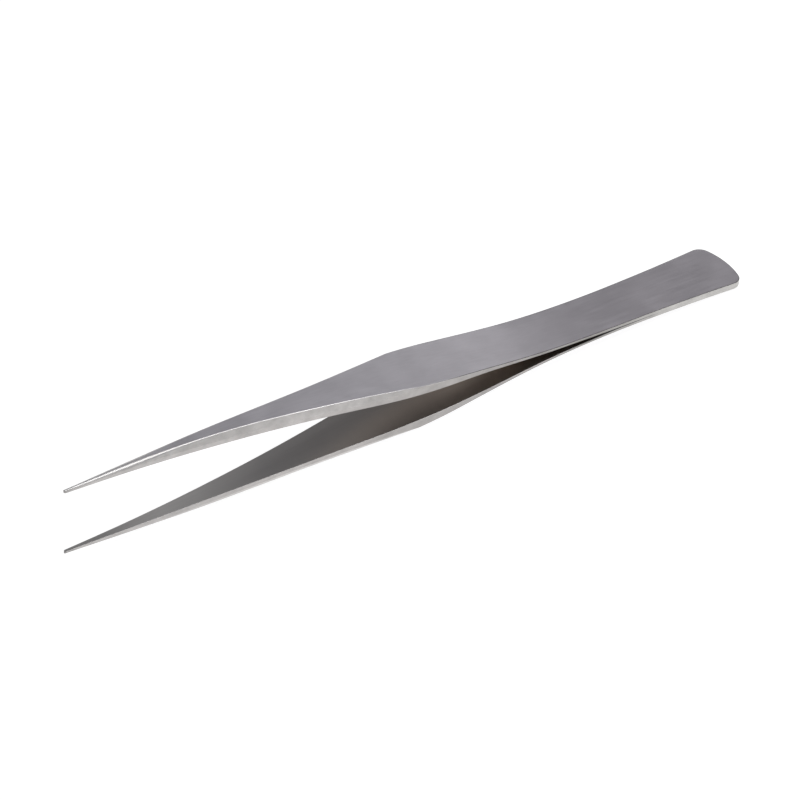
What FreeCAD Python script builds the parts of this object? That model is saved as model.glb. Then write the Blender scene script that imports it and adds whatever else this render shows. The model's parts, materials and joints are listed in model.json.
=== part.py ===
"""Pointed tweezers: two bowed leaves of spring steel, welded face to face at the heel.

Sizes are in millimetres. A leaf is drawn in a frame of its own: X runs from its point to its heel, Y across it,
and Z away from the other leaf, with Z = 0 on the faces that are welded together. Both leaves are the same
stamping: the lower one is turned over about X. The welded pair then lies as it comes to rest on a surface, on the
bow of the lower leaf and on the end of the heel, with the points to -X. Its origin is the middle of the
underside of its box.
"""
import FreeCAD, Part
import math
import os

import Sketcher

V = FreeCAD.Vector

# Driving dimensions, each written once
SIZES = (
    # Outline of a leaf, seen from above
    ("overall_length", 130.0),
    ("tip_radius", 0.28),
    ("taper_radius", 655.0),
    ("belly_width", 10.52),
    ("shoulder_from_heel", 62.0),
    ("shoulder_radius", 114.0),
    ("waist_from_heel", 28.5),
    ("waist_depth", 0.44),
    ("heel_width", 11.25),
    ("heel_corner_radius", 2.1),
    ("heel_end_radius", 14.0),
    # Stations along a leaf, where its bow and its thickness are set
    ("needle_from_tip", 12.0),
    ("nose_from_tip", 26.0),
    ("fore_from_tip", 44.0),
    ("belly_to_weld", 42.0),
    ("bend_to_weld", 30.0),
    ("spring_to_weld", 20.0),
    ("root_to_weld", 8.0),
    ("weld_length", 24.0),
    # Gap between the two leaves at each station
    ("tip_gap", 11.42),
    ("needle_gap", 11.05),
    ("nose_gap", 10.06),
    ("fore_gap", 7.94),
    ("belly_gap", 4.89),
    ("bend_gap", 3.56),
    ("spring_gap", 1.77),
    ("root_gap", 0.45),
    # Thickness of a leaf at each station
    ("tip_thickness", 0.43),
    ("needle_thickness", 1.1),
    ("nose_thickness", 1.74),
    ("fore_thickness", 1.74),
    ("belly_thickness", 1.53),
    ("bend_thickness", 0.75),
    ("spring_thickness", 0.48),
    ("root_thickness", 0.46),
    ("weld_thickness", 0.58),
    # Flat left between the two ground bevels, and the slope of a bevel
    ("tip_flat", 0.28),
    ("needle_flat", 0.98),
    ("nose_flat", 2.1),
    ("fore_flat", 5.2),
    ("belly_flat", 10.6),
    ("bend_flat", 14.8),
    ("bevel_angle", 56.0),
    # How far the strip reaches past the outline before it is trimmed
    ("trim_margin", 2.0),
)

STATIONS_FROM_TIP = ("needle", "nose", "fore")
STATIONS_TO_WELD = ("belly", "bend", "spring", "root")
BEVEL_STATIONS = ("needle", "nose", "fore", "belly", "bend")
STRIP_HALF_WIDTH = "(Sizes.heel_width / 2 + Sizes.trim_margin)"


def make_sheet(doc):
    """Write the driving dimensions to the document's sheet and return it."""
    sheet = doc.addObject("Spreadsheet::Sheet", "Sizes")
    for row, (alias, value) in enumerate(SIZES, start=1):
        sheet.set(f"A{row}", alias)
        sheet.set(f"B{row}", str(value))
        sheet.setAlias(f"B{row}", alias)
    doc.recompute()
    return sheet


def station(size, name):
    """Return how far a station lies from the point, as a number and as a formula."""
    if name in STATIONS_FROM_TIP:
        return getattr(size, f"{name}_from_tip"), f"Sizes.{name}_from_tip"
    return (size.overall_length - size.weld_length - getattr(size, f"{name}_to_weld"),
            f"(Sizes.overall_length - Sizes.weld_length - Sizes.{name}_to_weld)")


def make_sketch(body, name, role):
    """Return an empty sketch on one of the body's own origin planes."""
    plane = next(item for item in body.Origin.OriginFeatures if item.Role == role)
    sketch = body.newObject("Sketcher::SketchObject", name)
    sketch.AttachmentSupport = (plane, "")
    sketch.MapMode = "FlatFace"
    return sketch


def hold(sketch, kind, refs, start, formula):
    """Add a driving dimension to a sketch and tie it to the sheet."""
    index = sketch.addConstraint(Sketcher.Constraint(kind, *refs, start))
    sketch.setExpression(f"Constraints[{index}]", formula)


def hold_point(sketch, point, start, x_formula, y_formula):
    """Hold a point of a sketch at its two distances from the sketch's origin."""
    hold(sketch, "DistanceX", (-1, 1, *point), start.x, x_formula)
    hold(sketch, "DistanceY", (-1, 1, *point), start.y, y_formula)


def join(sketch, kind, first, second):
    """Join two curve ends, meeting or running smoothly into each other."""
    sketch.addConstraint(Sketcher.Constraint(kind, *first, *second))


def add_polygon(sketch, corners):
    """Add a closed chain of lines and return the number of the first one."""
    first = sketch.GeometryCount
    count = len(corners)
    for here in range(count):
        sketch.addGeometry(Part.LineSegment(corners[here], corners[(here + 1) % count]))
    for here in range(count):
        join(sketch, "Coincident", (first + here, 2), (first + (here + 1) % count, 1))
    return first


def add_arc(sketch, centre, begin, end):
    """Add the shorter arc about a centre, and return it with the end numbers of begin and end."""
    radius = (begin - centre).Length
    from_angle = math.atan2(begin.y - centre.y, begin.x - centre.x)
    to_angle = math.atan2(end.y - centre.y, end.x - centre.x)
    circle = Part.Circle(centre, V(0, 0, 1), radius)
    if (to_angle - from_angle) % (2 * math.pi) < math.pi:
        arc = sketch.addGeometry(Part.ArcOfCircle(circle, from_angle, to_angle))
        return arc, (arc, 1), (arc, 2)
    arc = sketch.addGeometry(Part.ArcOfCircle(circle, to_angle, from_angle))
    return arc, (arc, 2), (arc, 1)


def along(start, end, distance):
    """Return the point at a distance from start towards end."""
    return start + (end - start).normalize() * distance


def add_bow(sketch, points, formulas):
    """Add the smooth curve of one face, held at every station and level where the weld begins."""
    spline = Part.BSplineCurve()
    spline.interpolate(Points=points, InitialTangent=points[1] - points[0], FinalTangent=V(1, 0, 0), Scale=False)
    curve = sketch.addGeometry(spline)
    sketch.exposeInternalGeometry(curve)
    first_pole = curve + 1
    last_pole = curve + spline.NbPoles
    first_knot = last_pole + 1
    for number, (point, (x_formula, y_formula)) in enumerate(zip(points, formulas)):
        hold_point(sketch, (first_knot + number, 1), point, x_formula, y_formula)
    # The needle starts straight: its second pole lies a third of the way to the next station
    (tip_x, tip_y), (next_x, next_y) = formulas[0], formulas[1]
    second_pole = points[0] + (points[1] - points[0]) / 3
    hold_point(sketch, (first_pole + 1, 3), second_pole,
               f"{tip_x} + ({next_x} - ({tip_x})) / 3", f"{tip_y} + ({next_y} - ({tip_y})) / 3")
    # The face runs level into the weld
    (root_x, _), (weld_x, weld_y) = formulas[-2], formulas[-1]
    level_pole = V(points[-1].x - (points[-1].x - points[-2].x) / 3, points[-1].y, 0)
    hold_point(sketch, (last_pole - 1, 3), level_pole, f"{weld_x} - ({weld_x} - ({root_x})) / 3", weld_y)
    return curve


def draw_profile(body, size):
    """Draw the side view of a leaf: its inner and outer bow, and the straight stretch of the weld."""
    sketch = make_sketch(body, "bow_profile", "XZ_Plane")
    weld_x = "(Sizes.overall_length - Sizes.weld_length)"
    weld_at = size.overall_length - size.weld_length

    def face(is_outer):
        points = [V(0, size.tip_gap / 2 + is_outer * size.tip_thickness, 0)]
        outward = "Sizes.tip_thickness" if is_outer else "0"
        formulas = [("0", f"Sizes.tip_gap / 2 + {outward}")]
        for name in STATIONS_FROM_TIP + STATIONS_TO_WELD:
            at, at_formula = station(size, name)
            height = getattr(size, f"{name}_gap") / 2 + is_outer * getattr(size, f"{name}_thickness")
            outward = f"Sizes.{name}_thickness" if is_outer else "0"
            points.append(V(at, height, 0))
            formulas.append((at_formula, f"Sizes.{name}_gap / 2 + {outward}"))
        points.append(V(weld_at, is_outer * size.weld_thickness, 0))
        formulas.append((weld_x, "Sizes.weld_thickness" if is_outer else "0"))
        return add_bow(sketch, points, formulas), points, formulas

    inner, inner_points, inner_formulas = face(False)
    outer, outer_points, outer_formulas = face(True)

    # The strip runs straight on past the point and past the heel, and is trimmed to the outline later
    for points, formulas, margin_x, number, end in (
            (inner_points, inner_formulas, "-Sizes.trim_margin", 0, 1),
            (outer_points, outer_formulas, "-Sizes.trim_margin", 0, 1),
            (inner_points, inner_formulas, "Sizes.overall_length + Sizes.trim_margin", -1, 2),
            (outer_points, outer_formulas, "Sizes.overall_length + Sizes.trim_margin", -1, 2)):
        bow = inner if points is inner_points else outer
        past = -size.trim_margin if number == 0 else size.overall_length + size.trim_margin
        away = V(past, points[number].y, 0)
        line = sketch.addGeometry(Part.LineSegment(points[number], away))
        join(sketch, "Coincident", (bow, end), (line, 1))
        hold_point(sketch, (line, 2), away, margin_x, formulas[number][1])
    lines = range(sketch.GeometryCount - 4, sketch.GeometryCount)
    for inner_line, outer_line in ((lines[0], lines[1]), (lines[2], lines[3])):
        begin = sketch.Geometry[inner_line].EndPoint
        end = sketch.Geometry[outer_line].EndPoint
        closing = sketch.addGeometry(Part.LineSegment(begin, end))
        join(sketch, "Coincident", (closing, 1), (inner_line, 2))
        join(sketch, "Coincident", (closing, 2), (outer_line, 2))
    return sketch


def waist_point(size):
    """Return where the outline is narrowest between its belly and its heel, on the +Y side."""
    return V(size.overall_length - size.waist_from_heel, size.belly_width / 2 - size.waist_depth, 0)


def outline_centres(size):
    """Work out where the outline's arcs have their centres, on the +Y side."""
    tip = V(size.tip_radius, 0, 0)
    heel = V(size.overall_length - size.heel_end_radius, 0, 0)
    waist = waist_point(size)
    shoulder = V(size.overall_length - size.shoulder_from_heel, size.belly_width / 2 - size.shoulder_radius, 0)

    # The taper's hollow arc touches the tip's arc and the shoulder's arc from outside
    to_tip = size.taper_radius + size.tip_radius
    to_shoulder = size.taper_radius + size.shoulder_radius
    between = shoulder - tip
    span = between.Length
    share = (span ** 2 + to_tip ** 2 - to_shoulder ** 2) / (2 * span)
    offset = math.sqrt(to_tip ** 2 - share ** 2)
    direction = between / span
    taper = tip + direction * share + V(-direction.y, direction.x, 0) * offset

    # The flank's hollow arc touches the shoulder's arc and is level at the waist
    run = waist.x - shoulder.x
    drop = size.waist_depth
    flank = waist + V(0, (run ** 2 + drop ** 2) / (2 * drop) - size.shoulder_radius, 0)

    # The heel's corner arc lies inside its end arc, and the flare's hollow arc touches it
    corner_y = size.heel_width / 2 - size.heel_corner_radius
    corner_reach = size.heel_end_radius - size.heel_corner_radius
    corner = V(heel.x + math.sqrt(corner_reach ** 2 - corner_y ** 2), corner_y, 0)
    run = corner.x - waist.x
    rise = corner_y - waist.y
    flare_radius = (run ** 2 + rise ** 2 - size.heel_corner_radius ** 2) / (size.heel_width - 2 * waist.y)
    flare = waist + V(0, flare_radius, 0)
    return tip, taper, shoulder, flank, flare, corner, heel


def draw_outline(body, size):
    """Draw the plan of a leaf inside a frame: what lies between the two is trimmed away."""
    sketch = make_sketch(body, "outline", "XY_Plane")
    tip, taper, shoulder, flank, flare, corner, heel = outline_centres(size)
    waist = waist_point(size)
    tip_meets = along(tip, taper, size.tip_radius)
    taper_meets = along(shoulder, taper, size.shoulder_radius)
    shoulder_meets = along(shoulder, flank, size.shoulder_radius)
    flare_meets = along(corner, flare, size.heel_corner_radius)
    corner_meets = along(heel, corner, size.heel_end_radius)
    sides = []
    for side, sign in ((1, ""), (-1, "-")):
        def placed(point):
            return V(point.x, side * point.y, 0)

        arcs = {}
        for name, centre, begin, end in (("taper", taper, tip_meets, taper_meets),
                                         ("shoulder", shoulder, taper_meets, shoulder_meets),
                                         ("flank", flank, shoulder_meets, waist),
                                         ("flare", flare, waist, flare_meets),
                                         ("corner", corner, flare_meets, corner_meets)):
            arcs[name] = add_arc(sketch, placed(centre), placed(begin), placed(end))
        chain = list(arcs.values())
        for (_, _, end), (_, begin, _) in zip(chain, chain[1:]):
            join(sketch, "Tangent", end, begin)
        hold(sketch, "Radius", (arcs["taper"][0],), size.taper_radius, "Sizes.taper_radius")
        hold(sketch, "Radius", (arcs["shoulder"][0],), size.shoulder_radius, "Sizes.shoulder_radius")
        hold_point(sketch, (arcs["shoulder"][0], 3), placed(shoulder),
                   "Sizes.overall_length - Sizes.shoulder_from_heel",
                   f"{sign}(Sizes.belly_width / 2 - Sizes.shoulder_radius)")
        for name, centre in (("flank", flank), ("flare", flare)):
            hold(sketch, "DistanceX", (-1, 1, arcs[name][0], 3), centre.x,
                 "Sizes.overall_length - Sizes.waist_from_heel")
        hold(sketch, "DistanceY", (-1, 1, *arcs["flank"][2]), side * waist.y,
             f"{sign}(Sizes.belly_width / 2 - Sizes.waist_depth)")
        hold(sketch, "Radius", (arcs["corner"][0],), size.heel_corner_radius, "Sizes.heel_corner_radius")
        hold(sketch, "DistanceY", (-1, 1, arcs["corner"][0], 3), side * corner.y,
             f"{sign}(Sizes.heel_width / 2 - Sizes.heel_corner_radius)")
        sides.append(arcs)

    # The two ends lie on the centre line and close the outline
    upper, lower = sides
    tip_angle = math.atan2(tip_meets.y - tip.y, tip_meets.x - tip.x)
    tip_circle = Part.Circle(tip, V(0, 0, 1), size.tip_radius)
    tip_arc = sketch.addGeometry(Part.ArcOfCircle(tip_circle, tip_angle, 2 * math.pi - tip_angle))
    join(sketch, "Tangent", (tip_arc, 1), upper["taper"][1])
    join(sketch, "Tangent", (tip_arc, 2), lower["taper"][1])
    hold(sketch, "Radius", (tip_arc,), size.tip_radius, "Sizes.tip_radius")
    hold_point(sketch, (tip_arc, 3), tip, "Sizes.tip_radius", "0")
    heel_arc, lower_end, upper_end = add_arc(sketch, heel, V(corner_meets.x, -corner_meets.y, 0), corner_meets)
    join(sketch, "Tangent", upper_end, upper["corner"][2])
    join(sketch, "Tangent", lower_end, lower["corner"][2])
    hold(sketch, "Radius", (heel_arc,), size.heel_end_radius, "Sizes.heel_end_radius")
    hold_point(sketch, (heel_arc, 3), heel, "Sizes.overall_length - Sizes.heel_end_radius", "0")

    # The frame is as wide as the strip, and a little longer
    half = size.heel_width / 2 + size.trim_margin
    low_x = -2 * size.trim_margin
    high_x = size.overall_length + 2 * size.trim_margin
    corners = [V(low_x, -half, 0), V(high_x, -half, 0), V(high_x, half, 0), V(low_x, half, 0)]
    first = add_polygon(sketch, corners)
    low_formula = "-2 * Sizes.trim_margin"
    high_formula = "Sizes.overall_length + 2 * Sizes.trim_margin"
    half_formula = f"{STRIP_HALF_WIDTH} + Sizes.trim_margin"
    hold_point(sketch, (first, 1), corners[0], low_formula, f"-({half_formula})")
    hold_point(sketch, (first + 2, 1), corners[2], high_formula, half_formula)
    for number, kind in enumerate(("Horizontal", "Vertical", "Horizontal", "Vertical")):
        sketch.addConstraint(Sketcher.Constraint(kind, first + number))
    return sketch


def draw_bevel_section(body, size, name, station_x, of_station):
    """Draw what one bevel's grinding takes off at a station, as a triangle beyond the slanted face."""
    sketch = make_sketch(body, f"bevel_at_{name}", "YZ_Plane")
    sketch.setExpression("AttachmentOffset.Base.z", station_x)
    gap, thick, flat = (getattr(size, f"{of_station}_{what}") for what in ("gap", "thickness", "flat"))
    slope = math.tan(math.radians(size.bevel_angle))
    face = gap / 2 + thick
    reach = size.heel_width / 2 + size.trim_margin
    corners = [V(flat / 2 - size.trim_margin / slope, face + size.trim_margin, 0),
               V(reach, face - (reach - flat / 2) * slope, 0),
               V(reach, face + size.trim_margin, 0)]
    first = add_polygon(sketch, corners)
    slope_formula = "tan(Sizes.bevel_angle * 1deg)"
    flat_formula = f"Sizes.{of_station}_flat / 2"
    face_formula = f"Sizes.{of_station}_gap / 2 + Sizes.{of_station}_thickness"
    top_formula = f"{face_formula} + Sizes.trim_margin"
    hold_point(sketch, (first, 1), corners[0],
               f"{flat_formula} - Sizes.trim_margin / {slope_formula}", top_formula)
    hold_point(sketch, (first + 1, 1), corners[1], STRIP_HALF_WIDTH,
               f"{face_formula} - ({STRIP_HALF_WIDTH} - {flat_formula}) * {slope_formula}")
    hold_point(sketch, (first + 2, 1), corners[2], STRIP_HALF_WIDTH, top_formula)
    return sketch


def make_leaf(doc, sheet, label):
    """Build one leaf: a bowed strip, trimmed to its outline, with a bevel ground along both sides."""
    body = doc.addObject("PartDesign::Body", label)
    body.Label = label

    strip = body.newObject("PartDesign::Pad", "bowed_strip")
    strip.Profile = draw_profile(body, sheet)
    strip.SideType = "Symmetric"
    strip.setExpression("Length", f"2 * {STRIP_HALF_WIDTH}")
    doc.recompute()

    trimmed = body.newObject("PartDesign::Pocket", "trim_to_outline")
    trimmed.Profile = draw_outline(body, sheet)
    trimmed.Type = "ThroughAll"
    trimmed.SideType = "Symmetric"
    doc.recompute()

    sections = [draw_bevel_section(body, sheet, "run_off", "-2 * Sizes.trim_margin", "tip"),
                draw_bevel_section(body, sheet, "tip", "0", "tip")]
    for name in BEVEL_STATIONS:
        sections.append(draw_bevel_section(body, sheet, name, station(sheet, name)[1], name))
    bevel = body.newObject("PartDesign::SubtractiveLoft", "ground_bevel")
    bevel.Profile = sections[0]
    bevel.Sections = sections[1:]
    doc.recompute()

    both = body.newObject("PartDesign::Mirrored", "both_bevels")
    both.Originals = [bevel]
    both.MirrorPlane = (next(item for item in body.Origin.OriginFeatures if item.Role == "XZ_Plane"), [""])
    body.Tip = both
    doc.recompute()
    return body


def rest_tilt(body, size):
    """Return the angle by which the pair noses up when it lies on its lower leaf's bow and on its heel."""
    heel_underside = size.weld_thickness
    tilt = 0.0
    for edge in body.getObject("bow_profile").Shape.Edges:
        for point in edge.discretize(300):
            run = size.overall_length - point.x
            if run > size.heel_end_radius:
                tilt = max(tilt, math.atan2(point.z - heel_underside, run))
    return tilt


def lay_down(upper, lower, size):
    """Turn the lower leaf over and set the pair as it comes to rest, with its origin under its middle."""
    tilt = FreeCAD.Rotation(V(0, 1, 0), math.degrees(rest_tilt(upper, size)))
    turned_over = FreeCAD.Rotation(V(1, 0, 0), 180)
    upper.Placement = FreeCAD.Placement(V(0, 0, 0), tilt)
    lower.Placement = FreeCAD.Placement(V(0, 0, 0), tilt * turned_over)
    box = upper.Shape.optimalBoundingBox(False, False)
    box.add(lower.Shape.optimalBoundingBox(False, False))
    middle = V((box.XMin + box.XMax) / 2, (box.YMin + box.YMax) / 2, box.ZMin)
    upper.Placement = FreeCAD.Placement(-middle, tilt)
    lower.Placement = FreeCAD.Placement(-middle, tilt * turned_over)


def check_and_write(doc, leaves):
    """Stop on any failed object, and otherwise write each leaf to a file of its own."""
    for item in doc.Objects:
        if "Invalid" in item.State or "Error" in item.State:
            raise RuntimeError(f"{item.Name} failed: {item.State}")
    os.makedirs("parts", exist_ok=True)
    for leaf in leaves:
        if leaf.Shape.isNull() or not leaf.Shape.isValid() or len(leaf.Shape.Solids) != 1:
            raise RuntimeError(f"{leaf.Label} isn't one valid solid")
    for leaf in leaves:
        leaf.Shape.exportStep(f"parts/{leaf.Label}.step")
        box = leaf.Shape.optimalBoundingBox(False, False)
        print(f"{leaf.Label}: {leaf.Shape.Volume:.1f} mm3, {len(leaf.Shape.Faces)} faces, "
              f"X {box.XMin:.2f} to {box.XMax:.2f}, Y {box.YMin:.2f} to {box.YMax:.2f}, "
              f"Z {box.ZMin:.2f} to {box.ZMax:.2f}")


def main():
    doc = FreeCAD.newDocument("pointed_tweezers")
    sheet = make_sheet(doc)
    upper = make_leaf(doc, sheet, "upper_leaf")
    lower = make_leaf(doc, sheet, "lower_leaf")
    lay_down(upper, lower, sheet)
    doc.recompute()
    check_and_write(doc, (upper, lower))


main()
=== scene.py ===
"""Pointed tweezers: the looks of the two steel leaves, and the studio that they lie in.

Each leaf is modelled again as a fine mesh that follows its CAD node: the same plan, bow, thickness and bevels, with
the softly broken edges and the rounded crest of the needle that a ground leaf has. A leaf's own frame has X from its
point to its heel, Y across it and Z away from the other leaf, with Z = 0 on the welded faces. Its sizes below are in
millimetres. Everything that Blender gets is in metres.
"""

from collections import namedtuple
import json
import math

import bmesh
import bpy
import numpy as np
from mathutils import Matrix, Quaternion, Vector
from mathutils.bvhtree import BVHTree


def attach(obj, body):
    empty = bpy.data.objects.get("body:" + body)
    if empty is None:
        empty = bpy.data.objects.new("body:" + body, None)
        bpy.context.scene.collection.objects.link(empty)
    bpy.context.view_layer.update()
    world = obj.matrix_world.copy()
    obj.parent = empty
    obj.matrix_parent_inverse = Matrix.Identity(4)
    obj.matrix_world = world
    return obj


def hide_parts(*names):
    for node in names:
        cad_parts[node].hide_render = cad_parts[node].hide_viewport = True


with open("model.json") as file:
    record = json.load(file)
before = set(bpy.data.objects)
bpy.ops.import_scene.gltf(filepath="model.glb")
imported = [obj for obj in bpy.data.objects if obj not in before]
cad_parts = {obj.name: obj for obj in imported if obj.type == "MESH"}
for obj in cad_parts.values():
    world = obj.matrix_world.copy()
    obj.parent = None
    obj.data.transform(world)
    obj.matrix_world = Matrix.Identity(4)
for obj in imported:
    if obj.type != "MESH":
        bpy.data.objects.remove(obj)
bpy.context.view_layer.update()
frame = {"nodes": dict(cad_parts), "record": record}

MM = 0.001
MERGE_DISTANCE = 1e-7

# Plan of a leaf, as the CAD leaf has it
OVERALL_LENGTH = 130.0
TIP_RADIUS = 0.28
TAPER_RADIUS = 655.0
BELLY_WIDTH = 10.52
SHOULDER_FROM_TIP = 68.0
SHOULDER_RADIUS = 114.0
WAIST_FROM_TIP = 101.5
WAIST_WIDTH = 9.64
HEEL_WIDTH = 11.25
HEEL_CORNER_RADIUS = 2.1
HEEL_END_RADIUS = 14.0

# Side view of a leaf at its stations: the gap between the leaves and the leaf's own thickness
WELD_FROM_TIP = 106.0
STATIONS = (0.0, 12.0, 26.0, 44.0, 64.0, 76.0, 86.0, 98.0, WELD_FROM_TIP)
GAPS = (11.42, 11.05, 10.06, 7.94, 4.89, 3.56, 1.77, 0.45, 0.0)
THICKNESSES = (0.43, 1.1, 1.74, 1.74, 1.53, 0.75, 0.48, 0.46, 0.58)

# Flat between the two ground bevels, at the first stations
FLATS = (0.28, 0.98, 2.1, 5.2, 10.6, 14.8)
FLAT_STATIONS = STATIONS[:len(FLATS)]
BEVEL_SLOPE = math.tan(math.radians(56.0))

# Broken edges of the finished leaf. Where a bevel or the flat is narrow, a round takes no more than its share of it.
EDGE_BREAK = 0.045
WALL_EDGE_CUT = 0.03
ARRIS_CUT = 0.08
BEVEL_SHARE_AT_WALL = 0.3
BEVEL_SHARE_AT_ARRIS = 0.5
FLAT_SHARE_AT_ARRIS = 0.8
NARROWEST_FLAT = 0.1

# Insets run square to the outline, which is taken to lie across the leaf by at least this share round the point
LEAST_ACROSS = 0.5

# The inner edges leave a groove along the seam, which closes over the first stretch of the weld
INNER_EDGE_CUT = 0.07
FLUSH_EDGE_CUT = 0.002
FLUSH_AFTER = 7.0

# Rounded crest of the needle: how far it reaches, where it begins to fade and where it ends
CREST_CUT = 0.45
CREST_FULL_TO = 12.0
CREST_ENDS = 30.0

# How far the fine mesh may lie from its CAD node
MOST_FROM_CAD = 0.12

# The photograph's camera: it stands on the points' side and looks down on the tweezers
CAMERA_AZIMUTH = -35.35
CAMERA_ELEVATION = 39.45
CAMERA_ROLL = 0.12
CAMERA_DISTANCE = 0.57
CAMERA_LENS = 158.81
CAMERA_AIM = (-0.00036, 0.00287)
CAMERA_CLIP = (0.01, 100.0)

# Fineness of the mesh
STEP_ALONG = 0.3
STEP_ON_ARCS = math.radians(5.0)
ROUND_STEPS = 5
WALL_SHARES = (0.0, 0.06, 0.5, 0.94)
BEVEL_SHARES = (0.0, 0.08, 0.5, 0.92)
INSETS_ON_FACE = (0.02, 0.12, 0.35)
INSET_LIMITS = (0.12, 0.3, 0.5)
FACE_SHARES = (0.85, 0.6, 0.3, 0.0)

# Grain of brushed and of ground steel, in noise cells per metre along X, Y and Z
BRUSHED = (40.0, 2500.0, 2500.0)
GROUND = (500.0, 800.0, 800.0)
GRAIN_DETAIL = 3.0
GRAIN_ROUGHNESS = 0.6
PATCH_DETAIL = 4.0

# What the sum of the two noises reaches, all but its rare extremes
LEAST_UNEVEN, MOST_UNEVEN = 0.6, 1.4

# Grain, roughness and painted light of each surface of a leaf, in the order of the mesh's materials. The grain is as
# deep as its depth says, and the patches are noise of their own scale. The tone stops are painted light and shade:
# reflectances, each with its place along X from the points to the heel, that stand in for how the light falls there.
FinishAndPaintedLight = namedtuple("FinishAndPaintedLight", "material roughness roughness_change grain grain_depth tone_change patch_scale tones")
FINISHES_AND_PAINTED_LIGHT = {
    # Painted light and shade: the inner face is painted lighter near the points, where it lies open to the light, and
    # darker and warmer from there towards the seam, most about X = 2 mm, where the other leaf shades it.
    "inner_face": FinishAndPaintedLight(
        "inner_face", 0.30, 0.03, BRUSHED, 0.0002, 0.04, 90.0,
        ((-58.0, (0.53, 0.52, 0.505)), (-47.0, (0.76, 0.74, 0.715)), (-28.0, (0.41, 0.395, 0.385)),
         (2.0, (0.325, 0.295, 0.275)), (20.0, (0.50, 0.45, 0.41)))),
    # Painted shade: the inner edges are painted nearly black from X = 33 to 43 mm, the dark slit where the two leaves
    # meet at the seam.
    "edge": FinishAndPaintedLight(
        "broken_edge", 0.35, 0.03, BRUSHED, 0.0002, 0.02, 200.0,
        ((24.0, (0.50, 0.49, 0.48)), (33.0, (0.10, 0.098, 0.095)), (43.0, (0.10, 0.098, 0.095)),
         (49.0, (0.45, 0.44, 0.43)))),
    # Painted shade: the ground sides are painted darker at the very point and towards X = 34 mm, where they reflect
    # the floor shaded by the leaves.
    "side": FinishAndPaintedLight(
        "ground_side", 0.40, 0.08, GROUND, 0.0015, 0.2, 350.0,
        ((-65.0, (0.25, 0.24, 0.235)), (-62.5, (0.50, 0.485, 0.475)), (-20.0, (0.475, 0.455, 0.445)),
         (34.0, (0.32, 0.31, 0.30)), (50.0, (0.51, 0.50, 0.485)))),
    # Painted light: the bevels are painted lightest about X = -22 mm and darker towards the points and the heel, for
    # how the light falls along them.
    "bevel": FinishAndPaintedLight(
        "ground_bevel", 0.36, 0.08, GROUND, 0.0015, 0.22, 350.0,
        ((-42.0, (0.53, 0.515, 0.50)), (-22.0, (0.60, 0.58, 0.565)), (5.0, (0.50, 0.485, 0.47)))),
    # Painted highlight and shade: on top of its real highlight, the crest is painted bright from near the point to
    # the middle. It is painted dark at the very point and from X = 3 mm on towards the heel, where the arris shows as
    # a dark line.
    "crest": FinishAndPaintedLight(
        "crest_with_painted_light", 0.40, 0.03, BRUSHED, 0.0002, 0.02, 200.0,
        ((-65.0, (0.30, 0.295, 0.29)), (-62.5, (0.80, 0.79, 0.78)), (-48.0, (0.60, 0.59, 0.58)),
         (-20.0, (0.72, 0.705, 0.695)), (3.0, (0.28, 0.275, 0.275)), (7.0, (0.08, 0.078, 0.078)))),
    # Painted light: the outer face is painted lighter towards the points and darker towards the heel, for how the
    # light falls along the bowed face.
    "outer_face": FinishAndPaintedLight(
        "satin_face", 0.32, 0.035, BRUSHED, 0.0004, 0.06, 180.0,
        ((-55.0, (0.74, 0.725, 0.75)), (-35.0, (0.62, 0.60, 0.635)), (-12.0, (0.63, 0.61, 0.645)),
         (42.0, (0.51, 0.485, 0.515)))),
}
SURFACES = tuple(FINISHES_AND_PAINTED_LIGHT)

# Studio: each softbox's place, what it faces, its two sides and how bright it looks
SOFTBOXES = {
    "high_softbox": ((0.78, -0.05, 0.9), (0.78, -0.05, 0.0), (0.9, 0.8), 3.8),
    "front_panel": ((0.5, -1.5, 0.35), (0.0, 0.0, 0.0), (3.0, 0.8), 0.87),
    "back_panel": ((1.0, 1.2, 0.3), (0.0, 0.0, 0.0), (3.0, 0.6), 0.85),
}
ROOM_COLOUR = (0.23, 0.23, 0.24, 1.0)
FLOOR_SIZE = 4.0
FLOOR_COLOUR = (0.35, 0.35, 0.35, 1.0)
FLOOR_ROUGHNESS = 0.9
FLOOR_GLOW = 0.85


def smooth_curve(stations, values, first_slope, last_slope):
    """Return the cubic curve through the values, smooth at every station, with the given slopes at its ends."""
    x, y = np.array(stations), np.array(values)
    run = np.diff(x)
    slope = np.diff(y) / run
    count = len(x)
    rows, right = np.zeros((count, count)), np.zeros(count)
    rows[0, :2] = 2 * run[0], run[0]
    rows[-1, -2:] = run[-1], 2 * run[-1]
    right[0] = 6 * (slope[0] - first_slope)
    right[-1] = 6 * (last_slope - slope[-1])
    for i in range(1, count - 1):
        rows[i, i - 1:i + 2] = run[i - 1], 2 * (run[i - 1] + run[i]), run[i]
        right[i] = 6 * (slope[i] - slope[i - 1])
    bend = np.linalg.solve(rows, right)

    def curve(at):
        at = np.clip(at, x[0], x[-1])
        i = np.clip(np.searchsorted(x, at, side="right") - 1, 0, count - 2)
        near, far = x[i + 1] - at, at - x[i]
        return ((bend[i] * near ** 3 + bend[i + 1] * far ** 3) / (6 * run[i])
                + (y[i] / run[i] - bend[i] * run[i] / 6) * near
                + (y[i + 1] / run[i] - bend[i + 1] * run[i] / 6) * far)

    return curve


def face_curve(heights):
    """Return the side view of one face: it starts straight at the point and runs level into the weld."""
    first_slope = (heights[1] - heights[0]) / (STATIONS[1] - STATIONS[0])
    return smooth_curve(STATIONS, heights, first_slope, 0.0)


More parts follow.
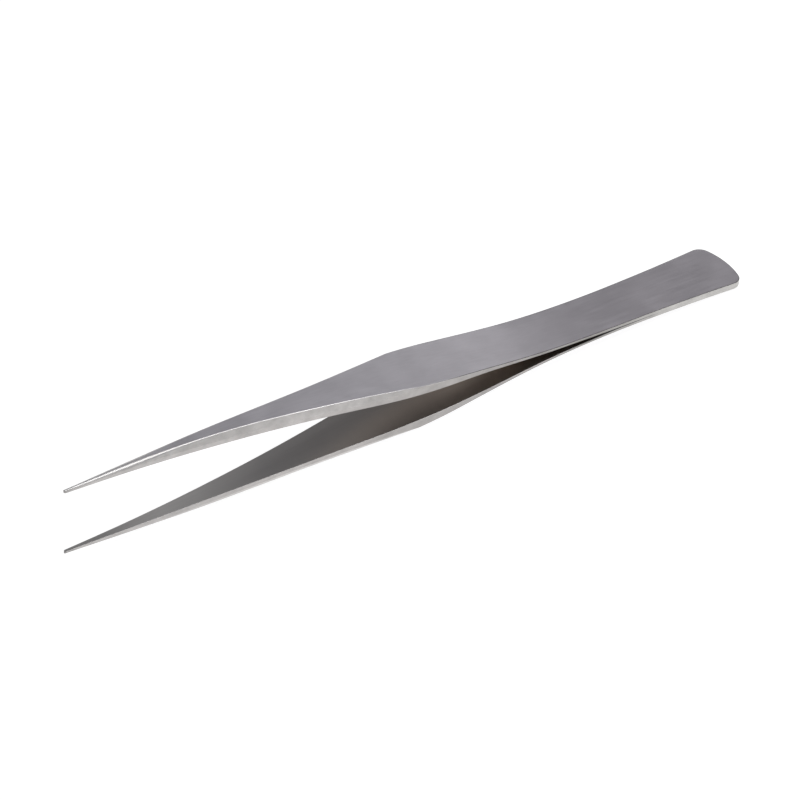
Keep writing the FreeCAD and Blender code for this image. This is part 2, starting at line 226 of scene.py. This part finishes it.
inner_height = face_curve([gap / 2 for gap in GAPS])
outer_height = face_curve([gap / 2 + thick for gap, thick in zip(GAPS, THICKNESSES)])
flat_half = smooth_curve(FLAT_STATIONS, [flat / 2 for flat in FLATS],
                         (FLATS[1] - FLATS[0]) / 2 / (FLAT_STATIONS[1] - FLAT_STATIONS[0]),
                         (FLATS[-1] - FLATS[-2]) / 2 / (FLAT_STATIONS[-1] - FLAT_STATIONS[-2]))


def outline_arcs():
    """Work out the arcs of the plan on the +Y side, from the point to the heel.

    Each arc is its centre, its two ends and whether it bulges outwards.
    """
    tip = Vector((TIP_RADIUS, 0))
    heel = Vector((OVERALL_LENGTH - HEEL_END_RADIUS, 0))
    shoulder = Vector((SHOULDER_FROM_TIP, BELLY_WIDTH / 2 - SHOULDER_RADIUS))

    # The taper's hollow arc touches the tip's arc and the shoulder's arc from outside
    apart = shoulder - tip
    to_tip, to_shoulder = TAPER_RADIUS + TIP_RADIUS, TAPER_RADIUS + SHOULDER_RADIUS
    share = (apart.length ** 2 + to_tip ** 2 - to_shoulder ** 2) / (2 * apart.length)
    direction = apart.normalized()
    square = Vector((-direction.y, direction.x))
    taper = tip + direction * share + square * math.sqrt(to_tip ** 2 - share ** 2)

    # The flank touches the shoulder and is level at the waist, where the flare to the heel's corner begins
    waist = Vector((WAIST_FROM_TIP, WAIST_WIDTH / 2))
    run, drop = WAIST_FROM_TIP - SHOULDER_FROM_TIP, (BELLY_WIDTH - WAIST_WIDTH) / 2
    flank = waist + Vector((0, (run ** 2 + drop ** 2) / (2 * drop) - SHOULDER_RADIUS))
    corner_y = HEEL_WIDTH / 2 - HEEL_CORNER_RADIUS
    corner = heel + Vector((math.sqrt((HEEL_END_RADIUS - HEEL_CORNER_RADIUS) ** 2 - corner_y ** 2), corner_y))
    run, rise = corner.x - waist.x, corner.y - waist.y
    flare = waist + Vector((0, (run ** 2 + rise ** 2 - HEEL_CORNER_RADIUS ** 2) / (HEEL_WIDTH - WAIST_WIDTH)))

    def meet(centre, towards, radius):
        return centre + (towards - centre).normalized() * radius

    tip_end = meet(tip, taper, TIP_RADIUS)
    taper_end = meet(shoulder, taper, SHOULDER_RADIUS)
    shoulder_end = meet(shoulder, flank, SHOULDER_RADIUS)
    flare_end = meet(corner, flare, HEEL_CORNER_RADIUS)
    corner_end = meet(heel, corner, HEEL_END_RADIUS)
    return ((tip, Vector((0, 0)), tip_end, True),
            (taper, tip_end, taper_end, False),
            (shoulder, taper_end, shoulder_end, True),
            (flank, shoulder_end, waist, False),
            (flare, waist, flare_end, False),
            (corner, flare_end, corner_end, True),
            (heel, corner_end, Vector((OVERALL_LENGTH, 0)), True))


def outline():
    """Return points along half of the plan, from the point to the heel, and the outward direction at each."""
    points, outward = [], []
    for centre, begin, end, bulges in outline_arcs():
        radius = (begin - centre).length
        from_angle = math.atan2(begin.y - centre.y, begin.x - centre.x)
        to_angle = math.atan2(end.y - centre.y, end.x - centre.x)
        turn = (to_angle - from_angle + math.pi) % (2 * math.pi) - math.pi
        steps = math.ceil(max(abs(turn) * radius / STEP_ALONG, abs(turn) / STEP_ON_ARCS))
        for step in range(0 if not points else 1, steps + 1):
            angle = from_angle + turn * step / steps
            ray = Vector((math.cos(angle), math.sin(angle)))
            points.append(centre + ray * radius)
            outward.append(ray if bulges else -ray)
    return np.array(points), np.array(outward)


def rounded(before, corner, after, cut_before, cut_after):
    """Return points of the round that cuts a profile's corner by the given lengths, as rows of (inset, height)."""
    begin = corner + (before - corner) * (cut_before / np.linalg.norm(before - corner, axis=0))
    end = corner + (after - corner) * (cut_after / np.linalg.norm(after - corner, axis=0))
    return [(1 - t) ** 2 * begin + 2 * t * (1 - t) * corner + t ** 2 * end
            for t in np.linspace(0, 1, ROUND_STEPS)]


def between(begin, end, shares):
    """Return points of a profile on the straight way from one to another."""
    return [begin + (end - begin) * share for share in shares]


def leaf_rows(points, outward):
    """Work out the rows of vertices that run along half of a leaf, from the middle of its inner face round to that
    of its outer face.

    Each row is its mark, how far in from the outline it lies, its height above the inner face, and its share of the
    way out from the leaf's centre line. The mark names the surface between the row and the next one.
    """
    x, half_width = points.T
    thick = outer_height(x) - inner_height(x)
    nothing = np.zeros_like(x)
    room = np.maximum(half_width, TIP_RADIUS)

    # The bevel reaches in to the flat, and where there is no bevel a plain edge break takes its place
    beyond_flat = np.where(x < FLAT_STATIONS[-1], half_width - flat_half(x), 0)
    across = np.maximum(EDGE_BREAK, beyond_flat / np.maximum(np.abs(outward[:, 1]), LEAST_ACROSS))
    drop = np.maximum(EDGE_BREAK, beyond_flat * BEVEL_SLOPE)
    slant = np.hypot(across, drop)
    crest = np.clip((CREST_ENDS - x) / (CREST_ENDS - CREST_FULL_TO), 0, 1)
    arris_cut = ARRIS_CUT + (CREST_CUT - ARRIS_CUT) * crest ** 2
    on_bevel = np.minimum(arris_cut, BEVEL_SHARE_AT_ARRIS * slant)
    on_flat = np.minimum(arris_cut, FLAT_SHARE_AT_ARRIS * np.maximum(room - across, NARROWEST_FLAT))

    inside = np.array([across + 1, nothing])
    inner_edge = np.array([nothing, nothing])
    wall_top = np.array([nothing, thick - drop])
    arris = np.array([across, thick])
    middle = np.array([across + 1, thick])
    flush = np.clip((x - WELD_FROM_TIP) / FLUSH_AFTER, 0, 1)
    inner_cut = INNER_EDGE_CUT + (FLUSH_EDGE_CUT - INNER_EDGE_CUT) * flush
    wall_cut = np.minimum(WALL_EDGE_CUT, BEVEL_SHARE_AT_WALL * slant)
    inner_round = rounded(inside, inner_edge, wall_top, inner_cut, inner_cut)
    wall_round = rounded(inner_edge, wall_top, arris, WALL_EDGE_CUT, wall_cut)
    arris_round = rounded(wall_top, arris, middle, on_bevel, on_flat)

    def face_rows(edge, height, mark):
        """Return the rows across a face, from its edge to the leaf's centre line."""
        left = room - edge
        insets = [edge + np.minimum(inset, limit * left) for inset, limit in zip(INSETS_ON_FACE, INSET_LIMITS)]
        rows = [(mark, inset, height, 1.0) for inset in insets]
        return rows + [(mark, insets[-1], height, share) for share in FACE_SHARES]

    rows = face_rows(inner_round[0][0], nothing, "inner_face")[::-1]
    rows += [("edge", *point, 1.0) for point in inner_round[:-1]]
    wall = between(inner_round[-1], wall_round[0], WALL_SHARES)
    rows += [("side", *point, 1.0) for point in wall]
    rows += [("side", *point, 1.0) for point in wall_round[:-1]]
    bevel = between(wall_round[-1], arris_round[0], BEVEL_SHARES)
    rows += [("bevel", *point, 1.0) for point in bevel]
    rows += [("crest", *point, 1.0) for point in arris_round[:-1]]
    rows += [("outer_face", *arris_round[-1], 1.0)]
    return rows + face_rows(arris_round[-1][0], thick, "outer_face")


def leaf_mesh(name, placement):
    """Build one leaf as a closed mesh, with the mark of each face as its material's number."""
    points, outward = outline()
    rows = leaf_rows(points, outward)
    thick = outer_height(points[:, 0]) - inner_height(points[:, 0])
    half = []
    for _, inset, height, share in rows:
        at_x, at_y = (points - outward * inset[:, None]).T
        bottom, top = inner_height(at_x), outer_height(at_x)
        half.append(np.stack([at_x, np.maximum(at_y, 0) * share, bottom + (top - bottom) * height / thick], axis=1))
    half = np.array(half)
    other_half = half[-2:0:-1] * (1, -1, 1)
    ring = np.concatenate([half, other_half])
    marks = [mark for mark, *_ in rows[:-1]]
    marks += marks[::-1]

    columns, stations = ring.shape[:2]
    vertices = (placement @ np.append(ring, np.ones((columns, stations, 1)), axis=2)[..., None])[..., :3, 0]
    faces, surfaces = [], []
    for column in range(columns):
        following = (column + 1) % columns
        surface = SURFACES.index(marks[column])
        for station in range(stations - 1):
            faces.append((column * stations + station, following * stations + station,
                          following * stations + station + 1, column * stations + station + 1))
            surfaces.append(surface)

    mesh = bpy.data.meshes.new(name)
    mesh.from_pydata(vertices.reshape(-1, 3).tolist(), [], faces)
    mesh.polygons.foreach_set("material_index", surfaces)
    sculpt = bmesh.new()
    sculpt.from_mesh(mesh)
    bmesh.ops.remove_doubles(sculpt, verts=sculpt.verts, dist=MERGE_DISTANCE)
    bmesh.ops.recalc_face_normals(sculpt, faces=sculpt.faces)
    sculpt.to_mesh(mesh)
    sculpt.free()
    mesh.shade_smooth()
    return mesh


def leaf_placement(node, side):
    """Return where the frame puts a leaf's own frame, from the heel's two mounts and the CAD node's reach."""
    mounts = {mount["name"]: mount for mount in frame["record"]["mounts"]}
    up = Vector(mounts["heel_top"]["axis"]).normalized()
    along = Vector((0, 1, 0)).cross(up)
    seam = (Vector(mounts["heel_top"]["pos_m"]) + Vector(mounts["heel_underside"]["pos_m"])) / 2
    heel_end = max(vertex.co.dot(along) for vertex in node.data.vertices)
    origin = seam + along * (heel_end - seam.dot(along) - OVERALL_LENGTH * MM)
    placement = np.eye(4)
    placement[:3, 0] = along * MM
    placement[:3, 1] = Vector((0, side, 0)) * MM
    placement[:3, 2] = up * side * MM
    placement[:3, 3] = origin
    return placement


def check_fit(mesh, node):
    """Stop where the fine mesh strays from the CAD node that it follows."""
    tree = BVHTree.FromPolygons([vertex.co for vertex in node.data.vertices],
                                [polygon.vertices for polygon in node.data.polygons])
    gaps = [tree.find_nearest(vertex.co)[3] for vertex in mesh.vertices]
    print(f"{mesh.name}: up to {max(gaps) / MM:.3f} mm from its CAD node")
    if max(gaps) > MOST_FROM_CAD * MM:
        raise RuntimeError(f"{mesh.name} doesn't follow its CAD node")


def new_material(name):
    """Return a material, its shader, a function that adds nodes to it and one that links them."""
    material = bpy.data.materials.new(name)
    material.use_nodes = True
    tree = material.node_tree
    tree.nodes.clear()

    def add(kind, **settings):
        node = tree.nodes.new(kind)
        for key, value in settings.items():
            setattr(node, key, value)
        return node

    def link(source, target):
        tree.links.new(source, target)

    out = add("ShaderNodeOutputMaterial")
    shader = add("ShaderNodeBsdfPrincipled")
    link(shader.outputs["BSDF"], out.inputs["Surface"])
    return material, shader, add, link


def steel(finish_and_painted_light):
    """Make bare steel: fine grain over faint patches, with painted light and shade in a tone that changes evenly
    along X.
    """
    material, shader, add, link = new_material(finish_and_painted_light.material)
    shader.inputs["Metallic"].default_value = 1.0
    place = add("ShaderNodeTexCoord").outputs["Object"]

    # Grain of the grinding or brushing
    stretch = add("ShaderNodeMapping")
    stretch.inputs["Scale"].default_value = finish_and_painted_light.grain
    grain = add("ShaderNodeTexNoise")
    grain.inputs["Scale"].default_value = 1.0
    grain.inputs["Detail"].default_value = GRAIN_DETAIL
    grain.inputs["Roughness"].default_value = GRAIN_ROUGHNESS
    link(place, stretch.inputs["Vector"])
    link(stretch.outputs["Vector"], grain.inputs["Vector"])

    # Patches where the grinding or brushing took a little differently
    patches = add("ShaderNodeTexNoise")
    patches.inputs["Scale"].default_value = finish_and_painted_light.patch_scale
    patches.inputs["Detail"].default_value = PATCH_DETAIL
    link(place, patches.inputs["Vector"])

    both = add("ShaderNodeMath", operation="ADD")
    link(grain.outputs["Fac"], both.inputs[0])
    link(patches.outputs["Fac"], both.inputs[1])

    def uneven(value, change):
        """Return an output that varies about the value, by the change at most, with the grain and the patches."""
        node = add("ShaderNodeMapRange")
        node.inputs["From Min"].default_value = LEAST_UNEVEN
        node.inputs["From Max"].default_value = MOST_UNEVEN
        node.inputs["To Min"].default_value = value - change
        node.inputs["To Max"].default_value = value + change
        link(both.outputs["Value"], node.inputs["Value"])
        return node.outputs["Result"]

    # Painted light and shade: the tone, from one place along X to the next
    begin, end = finish_and_painted_light.tones[0][0], finish_and_painted_light.tones[-1][0]
    apart = add("ShaderNodeSeparateXYZ")
    share = add("ShaderNodeMapRange")
    share.inputs["From Min"].default_value = begin * MM
    share.inputs["From Max"].default_value = end * MM
    ramp = add("ShaderNodeValToRGB")
    stops = ramp.color_ramp.elements
    while len(stops) < len(finish_and_painted_light.tones):
        stops.new(1.0)
    for stop, (at, tone) in zip(stops, finish_and_painted_light.tones):
        stop.position = (at - begin) / (end - begin)
        stop.color = (*tone, 1.0)
    link(place, apart.inputs["Vector"])
    link(apart.outputs["X"], share.inputs["Value"])
    link(share.outputs["Result"], ramp.inputs["Fac"])

    colour = add("ShaderNodeMix", data_type="RGBA", blend_type="MULTIPLY")
    colour.inputs["Factor"].default_value = 1.0
    link(ramp.outputs["Color"], colour.inputs["A"])
    link(uneven(1, finish_and_painted_light.tone_change), colour.inputs["B"])
    link(colour.outputs["Result"], shader.inputs["Base Color"])
    link(uneven(finish_and_painted_light.roughness, finish_and_painted_light.roughness_change), shader.inputs["Roughness"])

    bump = add("ShaderNodeBump")
    bump.inputs["Strength"].default_value = 1.0
    bump.inputs["Distance"].default_value = finish_and_painted_light.grain_depth * MM
    link(grain.outputs["Fac"], bump.inputs["Height"])
    link(bump.outputs["Normal"], shader.inputs["Normal"])
    return material


def make_leaf(node_name, side, materials):
    """Build one leaf over its CAD node, above the seam (side 1) or below it (side -1), to stand for that node."""
    node = frame["nodes"][node_name]
    name = f"{node_name}_finished"
    mesh = leaf_mesh(name, leaf_placement(node, side))
    check_fit(mesh, node)
    for material in materials:
        mesh.materials.append(material)
    leaf = bpy.data.objects.new(name, mesh)
    bpy.context.collection.objects.link(leaf)
    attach(leaf, "root")
    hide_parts(node_name)


def make_floor():
    """Lay the pale floor under the tweezers."""
    bpy.ops.mesh.primitive_plane_add(size=FLOOR_SIZE, location=(0, 0, 0))
    floor = bpy.context.object
    floor.name = "floor"
    material, shader, *_ = new_material("pale_floor")
    shader.inputs["Base Color"].default_value = FLOOR_COLOUR
    shader.inputs["Roughness"].default_value = FLOOR_ROUGHNESS
    shader.inputs["Specular IOR Level"].default_value = 0.0
    shader.inputs["Emission Color"].default_value = (1.0, 1.0, 1.0, 1.0)
    shader.inputs["Emission Strength"].default_value = FLOOR_GLOW
    floor.data.materials.append(material)


def add_softbox(name, location, aim, size, radiance):
    """Hang a soft lamp that faces a point of the studio and looks equally bright all over."""
    lamp = bpy.data.lights.new(name, "AREA")
    lamp.shape = "RECTANGLE"
    lamp.size, lamp.size_y = size
    lamp.energy = radiance * math.pi * size[0] * size[1]
    box = bpy.data.objects.new(name, lamp)
    box.location = location
    box.rotation_euler = (Vector(aim) - Vector(location)).to_track_quat("-Z", "Y").to_euler()
    bpy.context.collection.objects.link(box)


def light_studio():
    """Light the tweezers evenly, as in a product photograph."""
    world = bpy.data.worlds.new("studio")
    world.use_nodes = True
    world.node_tree.nodes["Background"].inputs["Color"].default_value = ROOM_COLOUR
    world.node_tree.nodes["Background"].inputs["Strength"].default_value = 1.0
    bpy.context.scene.world = world
    for name, settings in SOFTBOXES.items():
        add_softbox(name, *settings)
    bpy.context.scene.view_settings.view_transform = "Standard"


def set_camera():
    """Look down on the tweezers from the points' side, with the photograph's framing."""
    azimuth, elevation = math.radians(CAMERA_AZIMUTH), math.radians(CAMERA_ELEVATION)
    back = Vector((math.sin(azimuth) * math.cos(elevation), -math.cos(azimuth) * math.cos(elevation),
                   math.sin(elevation)))
    data = bpy.data.cameras.new("camera")
    data.lens = CAMERA_LENS
    data.clip_start, data.clip_end = CAMERA_CLIP
    camera = bpy.data.objects.new("camera", data)
    camera.location = Vector((*CAMERA_AIM, 0)) + back * CAMERA_DISTANCE
    roll = Quaternion((0, 0, 1), math.radians(CAMERA_ROLL))
    camera.rotation_euler = (back.to_track_quat("Z", "Y") @ roll).to_euler()
    bpy.context.collection.objects.link(camera)
    bpy.context.scene.camera = camera


leaf_materials = [steel(finish_and_painted_light) for finish_and_painted_light in FINISHES_AND_PAINTED_LIGHT.values()]
make_leaf("upper_leaf", 1, leaf_materials)
make_leaf("lower_leaf", -1, leaf_materials)
make_floor()
light_studio()
set_camera()
